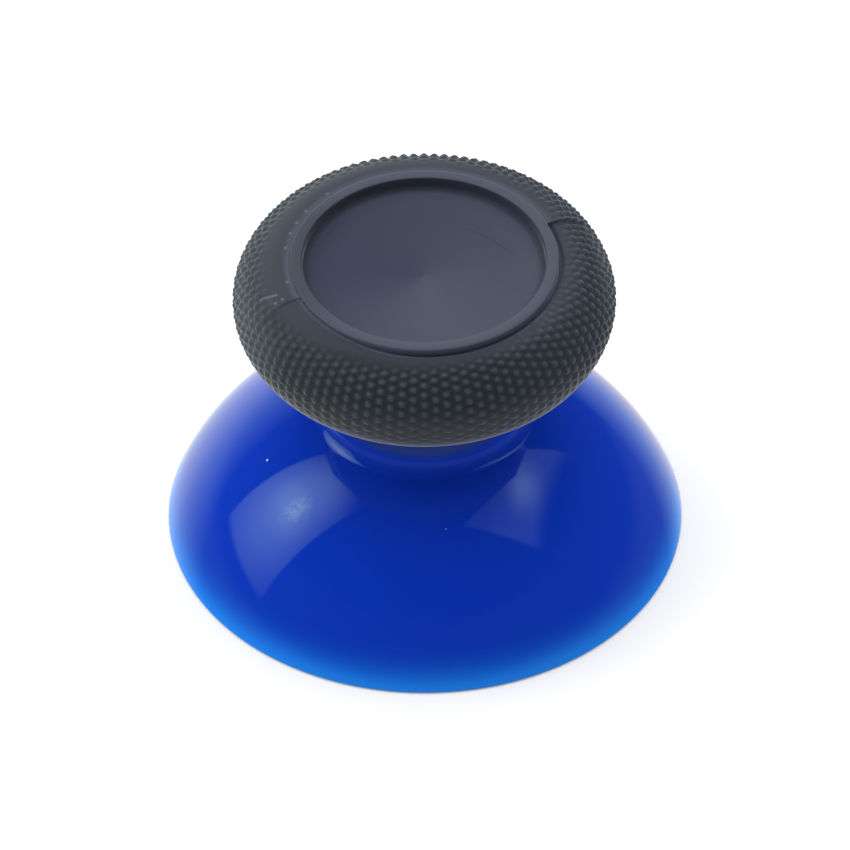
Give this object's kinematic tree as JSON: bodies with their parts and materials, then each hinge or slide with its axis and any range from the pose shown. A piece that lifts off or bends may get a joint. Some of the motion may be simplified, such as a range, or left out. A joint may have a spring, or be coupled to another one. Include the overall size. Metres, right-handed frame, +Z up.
{
  "type": "controller thumb grip",
  "caption": "Thumb grip for an analogue stick: textured grey cap with a dished top on a glossy blue hollow dome with a central stick socket.",
  "frame": {"origin": "on the stick's axis, in the plane of the dome's rim", "axes": "+Z up along the stick's axis, +X along the socket's rounded sides, +Y across its flats"},
  "size_m": [0.0274, 0.0274, 0.0183],
  "materials": {
    "dome_plastic": "high gloss moulded blue plastic, slightly translucent, with fine rub marks",
    "grip_rubber": "satin dark grey overmould with a pimpled band, smooth ring and faintly turned dish"
  },
  "bodies": {
    "root": {"dome_base": "dome_plastic", "grip_cap": "grip_rubber"}
  },
  "joints": []
}
